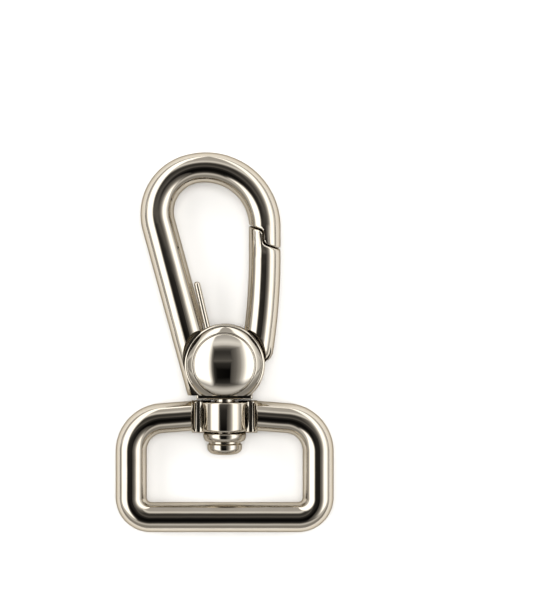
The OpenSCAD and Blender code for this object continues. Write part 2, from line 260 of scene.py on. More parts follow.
@dataclass(frozen=True)
class Finish:
    """Nickel plate as the eye meets it: its tint, its gloss and how even its surface is.

    Attributes:
        name: the material's plain name.
        light_hex: colour of the clean plate.
        deep_hex: colour where the plate is thinner and warmer.
        gloss: lowest roughness.
        haze: what hazing adds to the roughness.
        ripple_mm: size of the ripples that polishing leaves.
        ripple_depth_mm: depth of those ripples.
        painted_edge_shade_hex: colour at a grazing angle, darker than nickel's own, a painted
            shade that darkens the reflection along the outlines.
        cloud_mm: size of the patches of deeper colour.
        grain_mm: size of the hazy spots.
        clear_level: level of the grain below which the plate is clear.
        hazy_level: level of the grain above which it has its full haze.
    """

    name: str
    light_hex: str
    deep_hex: str
    gloss: float
    haze: float
    ripple_mm: float
    ripple_depth_mm: float
    # Painted shade: a darker tint at grazing angles darkens the reflection along the outlines
    painted_edge_shade_hex: str = "8E8578"
    cloud_mm: float = 4.0
    grain_mm: float = 0.5
    clear_level: float = 0.35
    hazy_level: float = 0.75

    def noise(
        self, tree: bpy.types.NodeTree, size_mm: float, detail: float
    ) -> bpy.types.NodeSocket:
        """Makes a noise in object coordinates, so that its size is real.

        Args:
            tree: the material's node tree.
            size_mm: size of its patches.
            detail: how many finer layers it has.
        Returns:
            The noise's level.
        """
        place = add_node(tree, "ShaderNodeTexCoord").outputs["Object"]
        scale = 1 / (size_mm * MM)
        node = add_node(tree, "ShaderNodeTexNoise", Vector=place, Scale=scale, Detail=detail)
        return node.outputs["Fac"]

    def build(self) -> bpy.types.Material:
        """Makes the material.

        Returns:
            The new material.
        """
        made = bpy.data.materials.new(self.name)
        made.use_nodes = True
        tree = made.node_tree
        cloud = self.noise(tree, self.cloud_mm, detail=3.0)
        light, deep = linear_colour(self.light_hex), linear_colour(self.deep_hex)
        roughness = add_node(
            tree,
            "ShaderNodeMapRange",
            Value=self.noise(tree, self.grain_mm, detail=4.0),
            From_Min=self.clear_level,
            From_Max=self.hazy_level,
            To_Min=self.gloss,
            To_Max=self.gloss + self.haze,
        )
        bump = add_node(
            tree,
            "ShaderNodeBump",
            Height=self.noise(tree, self.ripple_mm, detail=1.0),
            Strength=1.0,
            Distance=self.ripple_depth_mm * MM,
        )
        settings = {
            "Metallic": 1.0,
            # Painted shade: the darker grazing tint darkens the reflection along every outline
            "Specular Tint": linear_colour(self.painted_edge_shade_hex),
            "Base Color": mix(tree, Mix.PLAIN, cloud, light, deep),
            "Roughness": roughness.outputs["Result"],
            "Normal": bump.outputs["Normal"],
        }
        for name, value in settings.items():
            fill(tree, tree.nodes["Principled BSDF"].inputs[name], value)
        return made


# Bright plate over a polished zinc casting: wavy reflections with a warm cast
CAST_NICKEL = Finish("nickel_plated_zinc_casting", "CAC3B7", "C1B8A8", 0.035, 0.05, 3.0, 0.02)
# Bright plate over a pressed dome: the cleanest mirror of the hook
DOME_NICKEL = Finish("nickel_plated_pressed_dome", "CEC8BD", "C7BFB1", 0.02, 0.03, 4.0, 0.006)
# Bright plate over turned steel: small flats and edges that glint
TURNED_NICKEL = Finish("nickel_plated_turned_steel", "C9C2B6", "BFB6A6", 0.05, 0.06, 1.5, 0.01)
# Drawn wire: a softer shine that runs along the leg
SPRING_WIRE = Finish("nickel_plated_spring_wire", "D6D0C5", "CBC1B1", 0.12, 0.08, 0.8, 0.006)


def sweep(line: list[Vector], radii: list[float], sides: int = BAR_SIDES) -> bmesh.types.BMesh:
    """Draws a round bar of changing radius along a line, closed at both ends.

    Args:
        line: points along the middle of the bar.
        radii: the bar's radius at each point.
        sides: number of sides.
    Returns:
        The bar as a mesh in construction.
    """
    frames = []
    for i, (point, radius) in enumerate(zip(line, radii)):
        ahead = (line[min(i + 1, len(line) - 1)] - line[max(i - 1, 0)]).normalized()
        side = ahead.cross(UP).normalized()
        over = side.cross(ahead)
        turn = Matrix((side * radius, over * radius, ahead)).transposed().to_4x4()
        frames.append(Matrix.Translation(point) @ turn)
    bm = bmesh.new()
    bmesh.ops.create_circle(bm, segments=sides, radius=1.0, matrix=frames[0])
    ring = list(bm.edges)
    for here, there in zip(frames, frames[1:]):
        grown = bmesh.ops.extrude_edge_only(bm, edges=ring)["geom"]
        ring = [e for e in grown if isinstance(e, bmesh.types.BMEdge)]
        verts = [v for v in grown if isinstance(v, bmesh.types.BMVert)]
        bmesh.ops.transform(bm, matrix=there @ here.inverted(), verts=verts)
    bmesh.ops.holes_fill(bm, edges=bm.edges, sides=0)
    return bm


def lathe(profile: list[Pair], steps: int = LATHE_STEPS) -> bmesh.types.BMesh:
    """Turns a profile about the Z axis.

    Args:
        profile: (radius, height) pairs from one end of the axis to the other.
        steps: number of steps round the axis.
    Returns:
        The turned solid as a mesh in construction.
    """
    bm = bmesh.new()
    verts = [bm.verts.new((radius, 0.0, height)) for radius, height in profile]
    edges = [bm.edges.new(pair) for pair in zip(verts, verts[1:])]
    bmesh.ops.spin(
        bm,
        geom=verts + edges,
        cent=(0.0, 0.0, 0.0),
        axis=UP,
        angle=2 * math.pi,
        steps=steps,
        use_merge=True,
    )
    return bm


def round_corner(
    centre: Pair, radius: float, start_deg: float, end_deg: float, steps: int = 6
) -> list[Pair]:
    """Gives the points of a rounded corner in a turned profile.

    Args:
        centre: (radius, height) of the corner's centre.
        radius: radius of the corner.
        start_deg: angle at which it starts.
        end_deg: angle at which it ends.
        steps: number of steps.
    Returns:
        (radius, height) pairs in order.
    """
    points = arc(Vector((*centre, 0.0)), radius, start_deg, end_deg, steps)
    return [(p.x, p.y) for p in points]


def quarter_ellipse(radius: float, foot: float, reach: Pair) -> list[Pair]:
    """Rounds a turned piece's lower edge by a quarter of an ellipse.

    Args:
        radius: the piece's radius.
        foot: depth of its lower face.
        reach: the ellipse's reach along the radius, and along the axis.
    Returns:
        (radius, depth) pairs in order.
    """
    across, down = reach
    turns = [(cosine(deg), sine(deg)) for deg in range(0, 91, 9)]
    return [(radius - across * (1 - c), foot - down * (1 - s)) for c, s in turns]


def slab(outline: list[Vector], half_height: float) -> bmesh.types.BMesh:
    """Makes a flat plate from an outline, the same height above and below the middle plane.

    Args:
        outline: corners in order round the plate.
        half_height: half of the plate's thickness.
    Returns:
        The plate as a mesh in construction.
    """
    bm = bmesh.new()
    face = bm.faces.new([bm.verts.new(Vector((p.x, p.y, -half_height))) for p in outline])
    grown = bmesh.ops.extrude_face_region(bm, geom=[face])["geom"]
    verts = [v for v in grown if isinstance(v, bmesh.types.BMVert)]
    bmesh.ops.translate(bm, vec=(0.0, 0.0, 2 * half_height), verts=verts)
    return bm


def along_swivel(bm: bmesh.types.BMesh) -> bmesh.types.BMesh:
    """Lays a mesh down along the swivel, so that its height runs to -Y and its Y to +Z."""
    bmesh.ops.rotate(bm, verts=bm.verts, matrix=Matrix.Rotation(math.pi / 2, 3, "X"))
    return bm


def solid(bm: bmesh.types.BMesh, name: str = "tool") -> bpy.types.Object:
    """Turns a mesh in construction into an object, with its faces turned outwards.

    Args:
        bm: the mesh in construction, which is freed.
        name: the object's name.
    Returns:
        The new object, linked to the scene.
    """
    bmesh.ops.remove_doubles(bm, verts=bm.verts, dist=WELD)
    bmesh.ops.recalc_face_normals(bm, faces=bm.faces)
    mesh = bpy.data.meshes.new(name)
    bm.to_mesh(mesh)
    bm.free()
    made = bpy.data.objects.new(name, mesh)
    bpy.context.collection.objects.link(made)
    return made


def rod(radius: float, low: float, high: float) -> bpy.types.Object:
    """Makes a round rod on the pivot's axis from one height to another."""
    return solid(lathe([(0, low), (radius, low), (radius, high), (0, high)], ROD_STEPS))


def carve(body: bpy.types.Object, tool: bpy.types.Object, way: Cut) -> bpy.types.Object:
    """Works one solid on another and keeps the result in the first.

    Args:
        body: the solid that is kept.
        tool: the solid that works on it, which is deleted.
        way: how it works.
    Returns:
        The body.
    """
    step = body.modifiers.new("carve", "BOOLEAN")
    step.operation = way.value
    step.solver = "EXACT"
    step.object = tool
    evaluated = body.evaluated_get(bpy.context.evaluated_depsgraph_get())
    result = bpy.data.meshes.new_from_object(evaluated)
    body.modifiers.clear()
    body.data = result
    bpy.data.objects.remove(tool)
    return body


def copy_of(body: bpy.types.Object) -> bpy.types.Object:
    """Copies a solid, so that it can be worked on another without being used up.

    Args:
        body: the solid.
    Returns:
        The copy.
    """
    made = bpy.data.objects.new(body.name, body.data.copy())
    bpy.context.collection.objects.link(made)
    return made


def ease_edges(body: bpy.types.Object, width: float = EDGE_EASE, clamp: bool = True) -> None:
    """Rounds every sharp edge of a solid.

    Args:
        body: the solid, in millimetres.
        width: width of the rounding.
        clamp: whether the width is held back where edges are short.
    """
    bm = bmesh.new()
    bm.from_mesh(body.data)
    bmesh.ops.remove_doubles(bm, verts=bm.verts, dist=SLIVER)
    bmesh.ops.dissolve_degenerate(bm, edges=bm.edges, dist=SLIVER)
    limit = math.radians(SHARP_ANGLE_DEG)
    sharp = [e for e in bm.edges if len(e.link_faces) == 2 and e.calc_face_angle(0.0) > limit]
    bmesh.ops.bevel(
        bm,
        geom=sharp,
        offset=width,
        segments=EDGE_SEGMENTS,
        profile=0.5,
        affect="EDGES",
        material=-1,
        clamp_overlap=clamp,
    )
    bm.to_mesh(body.data)
    bm.free()


@dataclass
class Piece:
    """Finished solid, moved into the row frame and dressed.

    Attributes:
        name: the piece's plain name.
        body: the CAD body that it rides on.
        slot: the record's material slot, which is not used.
        finish: its material.
        nodes: the CAD nodes that it stands for.
    """

    name: str
    body: Body
    slot: Slot
    finish: bpy.types.Material
    nodes: tuple[str, ...] = ()

    def seat(self, made: bpy.types.Object) -> None:
        """Moves a solid from the pivot's frame to the row frame and hands it to its body.

        Args:
            made: the solid in millimetres about the pivot.
        """
        made.name = self.name
        made.data.name = self.name
        made.data.transform(SEAT)
        made.data.shade_smooth()
        made.data.set_sharp_from_angle(angle=math.radians(SHARP_ANGLE_DEG))
        made.data.materials.clear()
        made.data.materials.append(self.finish)
        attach(made, self.body.value)
        if self.nodes:
            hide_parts(*self.nodes)
        log.info("%s: %d faces on %s", self.name, len(made.data.polygons), self.body.value)


@dataclass
class Bow:
    """Bow of the hook, in the pivot's frame, in millimetres."""

    nose_r: float = 2.55
    crown_r: float = 2.4
    arm_r: float = 2.75
    gate_x: float = 6.45
    rise: float = 22.1
    wide_r: float = 9.55
    tight_r: float = 7.25
    crown_deg: float = 103.0
    arm_deg: float = 15.3
    foot_y: float = -6.0
    nose_foot_y: float = 15.0
    wide_steps: int = 48
    tight_steps: int = 44

    def line(self) -> tuple[list[Vector], list[float]]:
        """Draws the middle line from the nose over the crown and down the arm.

        Returns:
            The points, and the bar's radius at each.
        """
        wide_c = Vector((self.gate_x - self.wide_r, self.rise, 0.0))
        tight_c = wide_c + (self.wide_r - self.tight_r) * direction(self.crown_deg)
        arm_turn = 180 + self.arm_deg
        wide = arc(wide_c, self.wide_r, 0.0, self.crown_deg, self.wide_steps)
        tight = arc(tight_c, self.tight_r, self.crown_deg, arm_turn, self.tight_steps)
        nose = Vector((self.gate_x, self.nose_foot_y, 0.0))
        fall = (tight[-1].y - self.foot_y) / cosine(self.arm_deg)
        foot = tight[-1] + fall * direction(self.arm_deg - 90)
        points = [nose, *wide, *tight[1:], foot]
        radii = [
            self.nose_r,
            *blend(self.nose_r, self.crown_r, self.wide_steps),
            *blend(self.crown_r, self.arm_r, self.tight_steps)[1:],
            self.arm_r,
        ]
        return points, radii

    def arm_x(self, y: float) -> float:
        """Finds where the arm's middle line crosses a height.

        Args:
            y: the height above the pivot.
        Returns:
            The line's X there.
        """
        points, _ = self.line()
        return points[-1].x + (self.foot_y - y) * math.tan(math.radians(self.arm_deg))


@dataclass
class Latch:
    """Stepped seam between gate and nose, as circles about the pivot, in millimetres.

    Its walls lean, so that no light shows through it from above.
    """

    low_r: float = 20.65
    tongue: float = 2.05
    step_x: float = 6.45
    gap: float = 0.22
    corner: float = 0.7
    far_deg: float = 100.0
    half_height: float = 8.0
    lean: float = 0.0065
    lean_x: float = -0.05

    def zone(self, back: float) -> bpy.types.Object:
        """Makes the space inside the seam, with softened corners at its step.

        Args:
            back: how far it is drawn back from the seam's middle.
        Returns:
            The space as a solid.
        """
        low_r = self.low_r - back
        high_r = self.low_r + self.tongue - back
        step_x = self.step_x - back
        low_deg, high_deg = (math.degrees(math.acos(step_x / r)) for r in (low_r, high_r))
        low = arc(Vector(), low_r, 0.0, low_deg, steps=100)
        high = arc(Vector(), high_r, high_deg, self.far_deg, steps=60)
        outline = [Vector(), *self.soften(low, high[0])]
        outline += self.soften(high[::-1], low[-1])[::-1]
        space = slab(outline, self.half_height)
        for vert in space.verts:
            vert.co.xy *= 1 - self.lean * vert.co.z
            vert.co.x += self.lean_x * vert.co.z
        return solid(space)

    def soften(self, path: list[Vector], ahead: Vector) -> list[Vector]:
        """Ends a path in a soft corner instead of a sharp one.

        Args:
            path: points that end in the corner.
            ahead: the point beyond the corner.
        Returns:
            The path with its corner rounded.
        """
        corner = path[-1]
        kept = [p for p in path if (p - corner).length > self.corner]
        start = corner + self.corner * (kept[-1] - corner).normalized()
        end = corner + self.corner * (ahead - corner).normalized()
        shares = blend(0.0, 1.0, steps=8)
        return kept + [start.lerp(corner, t).lerp(corner.lerp(end, t), t) for t in shares]


@dataclass
class Hub:
    """Hub of the hook with its boss, recess, slot and foot, in millimetres.

    Attributes:
        band: slope round the dome's notch, as distance from it and depth below the top.
        groove: groove outside that slope, likewise.
        room: half width, length and half height of the space below the neck.
    """

    boss_r: float = 6.5
    half_t: float = 2.908
    notch_r: float = 5.0
    notch_w: float = 0.25
    notch_h: float = 0.16
    band: tuple[Pair, ...] = ((0.1, 0.08), (0.35, 0.27), (0.6, 0.46), (0.85, 0.67), (1.03, 0.84))
    groove: tuple[Pair, ...] = ((1.05, 1.04), (1.12, 1.04), (1.15, 0.93))
    ring_h: float = 0.6
    edge_h: float = 0.8
    edge_r: float = 0.5
    edge_deg: float = 50.0
    slot_half_t: float = 1.608
    slot_r: float = 3.75
    floor_z: float = 1.8
    gate_floor_z: float = 1.508
    recess_gap: float = 0.1
    recess_w: float = 0.85
    recess_top: float = 3.2
    neck_y: float = 5.0
    room: tuple[float, float, float] = (30.0, 20.0, 9.0)
    foot_w: float = 4.5
    foot_z: float = 1.75
    foot_t: float = 0.65
    foot_root: float = 1.0
    foot_ease: float = 0.3
    heel_y: float = -2.9
    heel_lean: float = 0.6
    heel_near: float = 1.0
    heel_far: float = 12.0
    heel_half_h: float = 1.0
    leg_room: float = 2.03

    @property
    def recess_r(self) -> float:
        """Radius of the recess at its upper edge."""
        return self.boss_r + self.recess_gap + self.recess_w

    def boss(self) -> bpy.types.Object:
        """Turns the boss: a notch at the dome's rim, a sloping band, a groove and a round edge.

        Returns:
            The boss.
        """
        top = self.half_t
        half = [(0.0, top), (self.notch_r - self.notch_w, top)]
        half += [(self.notch_r, top - self.notch_h)]
        half += [(self.notch_r + out, top - drop) for out, drop in self.band + self.groove]
        corner = (self.boss_r - self.edge_r, top - self.ring_h - self.edge_h)
        half += round_corner(corner, self.edge_r, self.edge_deg, 0, steps=8)
        return solid(lathe(half + [(r, -z) for r, z in reversed(half)], FINE_STEPS))

    def recess(self, floor_z: float, side: int) -> bpy.types.Object:
        """Makes the sloping space round the boss on one face.

        Args:
            floor_z: height of its floor.
            side: 1 for the front face and -1 for the rear one.
        Returns:
            The space as a solid.
        """
        profile = [(0.0, floor_z), (self.boss_r + self.recess_gap, floor_z)]
        profile += [(self.recess_r, self.recess_top), (0.0, self.recess_top)]
        return solid(lathe([(r, side * z) for r, z in profile], FINE_STEPS))

    def slot(self, low_deg: float, out_deg: float, leg_deg: float) -> bpy.types.Object:
        """Makes the slot between the cheeks, open where the gate and the spring come out.

        Args:
            low_deg: direction of the point where the slot's lower wall leaves its round end.
            out_deg: direction in which that wall runs out of the hub.
            leg_deg: direction of the spring's long leg.
        Returns:
            The slot as a solid.
        """
        far = 2 * self.boss_r
        wall = self.slot_r * direction(low_deg)
        leg_edge = self.leg_room * direction(leg_deg + 90)
        leg_end = leg_edge + far * direction(leg_deg)
        mouth = [Vector(), wall, wall + far * direction(out_deg)]
        mouth += in_plane([(2 * far, far), (far, 2 * far)])
        mouth += [leg_end, leg_edge]
        disc = solid(slab(circle(self.slot_r, steps=72), self.slot_half_t))
        opening = solid(slab(mouth, self.slot_half_t))
        carve(opening, solid(slab(circle(self.recess_r, steps=120), self.half_t)), Cut.WITHIN)
        return carve(disc, opening, Cut.JOIN)

    def heel(self, side: int) -> bpy.types.Object:
        """Makes the space over the arm's flat lower end on one face.

        Args:
            side: 1 for the front face and -1 for the rear one.
        Returns:
            The space as a solid.
        """
        near, far = self.heel_near, self.heel_far
        low, high = self.heel_y - self.heel_lean, self.heel_y + self.heel_lean
        corners = [(-far, low), (-far, -far), (-near, -far), (-near, high)]
        space = slab(in_plane(corners), self.heel_half_h)
        lift = side * (self.floor_z + self.heel_half_h)
        bmesh.ops.translate(space, vec=(0.0, 0.0, lift), verts=space.verts)
        return solid(space)

    def foot(self) -> bpy.types.Object:
        """Makes the low block that faces the barrel.

        Returns:
            The block.
        """
        low, high = -self.neck_y - self.foot_t, self.foot_root - self.neck_y
        side = self.foot_w
        corners = [(-side, low), (side, low), (side, high), (-side, high)]
        block = solid(slab(in_plane(corners), self.foot_z))
        ease_edges(block, self.foot_ease)
        return block

    def below_neck(self) -> bpy.types.Object:
        """Makes the space below the hub, where the foot starts.

        Returns:
            The space as a solid.
        """
        half_w, length, half_h = self.room
        low, high = -self.neck_y - length, -self.neck_y
        corners = [(-half_w, high), (-half_w, low), (half_w, low), (half_w, high)]
        return solid(slab(in_plane(corners), half_h))


@dataclass
class HookBody:
    """Cast hook: bow, arm, nose, hub and foot."""

    bow: Bow
    latch: Latch
    hub: Hub
    slot: bpy.types.Object
    finish: bpy.types.Material
    seam_ease: float = 0.24
    hub_ease: float = 0.08
    root_y: float = 3.5
    root_drop: float = 0.02

    def build(self) -> None:
        """Makes the bow with its nose and its recess, and the hub with its slot and foot."""
        hub = self.hub
        bar = solid(sweep(*self.bow.line()))
        carve(bar, self.latch.zone(-self.latch.gap / 2), Cut.AWAY)
        ease_edges(bar, self.seam_ease, clamp=False)
        for side in BOTH:
            carve(bar, hub.recess(hub.floor_z, side), Cut.AWAY)
            carve(bar, hub.heel(side), Cut.AWAY)
        carve(bar, hub.below_neck(), Cut.AWAY)
        carve(bar, copy_of(self.slot), Cut.AWAY)
        ease_edges(bar)
        Piece("hook_bow", Body.HOOK, Slot.CAST, self.finish, ("hook_body",)).seat(bar)

        boss = hub.boss()
        arm_side = [(self.bow.arm_x(y), y) for y in (self.root_y, -hub.neck_y)]
        root = in_plane([*arm_side, (hub.foot_w, -hub.neck_y), (0.0, 0.0)])
        carve(boss, solid(slab(root, hub.floor_z - self.root_drop)), Cut.JOIN)
        carve(boss, hub.below_neck(), Cut.AWAY)
        carve(boss, self.slot, Cut.AWAY)
        ease_edges(boss, self.hub_ease)
        Piece("hook_hub", Body.HOOK, Slot.CAST, self.finish).seat(boss)
        Piece("hook_foot", Body.HOOK, Slot.CAST, self.finish).seat(hub.foot())


@dataclass
class Gate:
    """Spring gate with its tongue, its bend into the hub and its eye."""

    bow: Bow
    latch: Latch
    hub: Hub
    finish: bpy.types.Material
    bend_r: float = 100.0
    bend_y: float = 17.5
    foot_y: float = 2.3
    tip_y: float = 0.4
    tip_r: float = 1.0
    tip_degs: tuple[float, ...] = (80.0, 60.0, 40.0, 20.0)
    over_seam: float = 2.0
    seam_ease: float = 0.36
    eye_r: float = 3.5
    root_r: float = 2.3
    bore_r: float = 0.85

    def bend(self) -> list[Vector]:
        """Draws the bend of the gate's middle line, from the hub upwards.

        Returns:
            The points, the first of which is the gate's root.
        """
        bend_deg = math.degrees(math.asin((self.bend_y - self.foot_y) / self.bend_r))
        centre = Vector((self.bow.gate_x - self.bend_r, self.bend_y, 0.0))
        return arc(centre, self.bend_r, -bend_deg, 0.0, steps=24)

    @property
    def root_deg(self) -> float:
        """Direction of the gate's root from the pivot."""
        root = self.bend()[0]
        return math.degrees(math.atan2(root.y, root.x))

    @property
    def lean_deg(self) -> float:
        """Angle by which the eye's sides close towards the root."""
        return math.degrees(math.asin((self.eye_r - self.root_r) / self.bend()[0].length))

    def bar_line(self) -> tuple[list[Vector], list[float]]:
        """Draws the bar's middle line from its rounded lower end to beyond the seam.

        Returns:
            The points, and the bar's radius at each.
        """
        bend = self.bend()
        root, full_r = bend[0], self.bow.nose_r
        fall, shrink = root.y - self.tip_y, full_r - self.tip_r
        top = Vector((self.bow.gate_x, self.latch.low_r + self.latch.tongue + self.over_seam, 0.0))
        line = [Vector((root.x, root.y - fall * sine(deg), 0.0)) for deg in self.tip_degs]
        radii = [full_r - shrink * (1 - cosine(deg)) for deg in self.tip_degs]
        return [*line, *bend, top], radii + [full_r] * (len(bend) + 1)

    def build(self) -> None:
        """Makes the gate's bar and the eye that turns on the pivot."""
        bar = solid(sweep(*self.bar_line()))
        carve(bar, self.latch.zone(self.latch.gap / 2), Cut.WITHIN)
        ease_edges(bar, self.seam_ease, clamp=False)
        for side in BOTH:
            carve(bar, self.hub.recess(self.hub.gate_floor_z, side), Cut.AWAY)
        ease_edges(bar)
        Piece("gate_bar", Body.GATE, Slot.CAST, self.finish, ("gate",)).seat(bar)

        turn, lean = self.root_deg, self.lean_deg
        outline = arc(Vector(), self.eye_r, turn + 90 - lean, turn + 270 + lean, steps=48)
        outline += arc(self.bend()[0], self.root_r, turn + lean - 90, turn + 90 - lean, steps=24)
        eye = solid(slab(outline, self.hub.gate_floor_z))
        carve(eye, rod(self.bore_r, -self.hub.half_t, self.hub.half_t), Cut.AWAY)
        ease_edges(eye)
        Piece("gate_eye", Body.GATE, Slot.CAST, self.finish).seat(eye)


@dataclass
class Spring:
    """Torsion spring, whose long leg rests beside the arm."""

    bow: Bow
    root_deg: float
    finish: bpy.types.Material
    leg_off_deg: float = 2.2
    wire_r: float = 0.5
    coil_r: float = 1.38
    low_z: float = -0.359
    rise: float = 1.317
    reach: float = 14.0
    short_leg: float = 3.6
    coil_steps: int = 72
    tip_steps: int = 5
    tip_deg: float = 88.0

    @property
    def leg_deg(self) -> float:
        """Direction of the long leg, turned off the arm's so that the two don't touch."""
        return 90 + self.bow.arm_deg - self.leg_off_deg

    def build(self) -> None:
        """Makes the wire from its short leg round the coil to the long leg's rounded end."""
        start_deg = 270 + self.root_deg
        turn_deg = 360 + start_deg - (self.leg_deg + 90)
        coil = arc(Vector(), self.coil_r, start_deg, start_deg - turn_deg, self.coil_steps)
        for i, point in enumerate(coil):
            point.z = self.low_z + self.rise * i / self.coil_steps
        leg = math.sqrt(self.reach**2 - self.coil_r**2)
        parts = range(self.tip_steps + 1)
        backs = [self.wire_r * (1 - sine(90 * i / self.tip_steps)) for i in parts]
        tip = [coil[-1] + (leg - back) * direction(self.leg_deg) for back in backs]
        line = [coil[0] + self.short_leg * direction(self.root_deg), *coil, *tip]
        ends = [self.wire_r * cosine(self.tip_deg * i / self.tip_steps) for i in parts]
        radii = [self.wire_r] * (1 + len(coil)) + ends
        wire = solid(sweep(line, radii, WIRE_SIDES))
        Piece("spring_wire", Body.HOOK, Slot.SPRING, self.finish, ("gate_spring",)).seat(wire)


@dataclass
class Domes:
    """Domed rivet through the hub, with a flattened dome on the rear face."""

    hub: Hub
    finish: bpy.types.Material
    rim_r: float = 4.95
    rim_h: float = 0.3
    rise: float = 1.7
    ball_r: float = 9.5
    edge_r: float = 0.5
    shank_r: float = 0.8
    shank_in: float = 0.5
    rear_h: float = 0.6
    rear_rim_share: float = 0.6
    rear_lip_in: float = 0.08
    rear_lip_up: float = 0.05
    rear_edge_r: float = 0.5
    flat_r: float = 4.1
    flat_in: float = 0.1

    def front_profile(self) -> list[Pair]:
        """Draws the front dome's section from its middle to its foot, and back to the axis.

        Returns:
            (radius, height) pairs.
        """
        ball = self.ball_r
        top = self.hub.half_t + self.rim_h + self.rise
        lip_deg = math.degrees(math.acos((self.rim_r - self.edge_r) / (ball - self.edge_r)))
        crown = round_corner((0.0, top - ball), ball, 90, lip_deg, steps=40)
        drop = (ball - self.edge_r) * sine(lip_deg)
        lip = (self.rim_r - self.edge_r, top - ball + drop)
        edge = round_corner(lip, self.edge_r, lip_deg, 0, steps=8)
        foot = [(self.rim_r, self.hub.half_t), (0.0, self.hub.half_t)]
        return [*crown, *edge[1:], *foot]

    def rear_profile(self) -> list[Pair]:
        """Draws the rear dome's section as if it faced up: a rim, a slope and a flat top.

        Returns:
            (radius, height) pairs.
        """
        base = self.hub.half_t
        lip = base + self.rim_h
        top = lip + self.rear_h
        slope_deg = math.degrees(math.atan2(self.rim_r - self.flat_r, self.rear_h))
        corner = (self.flat_r - self.flat_in, top - self.rear_edge_r)
        section = [(0.0, base), (self.rim_r, base)]
        section += [(self.rim_r, base + self.rear_rim_share * self.rim_h)]
        section += [(self.rim_r - self.rear_lip_in, lip + self.rear_lip_up)]
        section += round_corner(corner, self.rear_edge_r, 90 - slope_deg, 90, steps=8)
        return [*section, (0.0, top)]

    def build(self) -> None:
        """Makes the front dome with its shank, and the rear dome."""
        base = self.hub.half_t
        front = solid(lathe(self.front_profile(), FINE_STEPS))
        carve(front, rod(self.shank_r, -base, base + self.shank_in), Cut.JOIN)
        Piece("pivot_dome", Body.HOOK, Slot.DOME, self.finish, ("pivot_rivet",)).seat(front)
        rear = solid(lathe([(r, -z) for r, z in self.rear_profile()], FINE_STEPS))
        Piece("rear_dome_cap", Body.HOOK, Slot.DOME, self.finish, ("rear_dome",)).seat(rear)


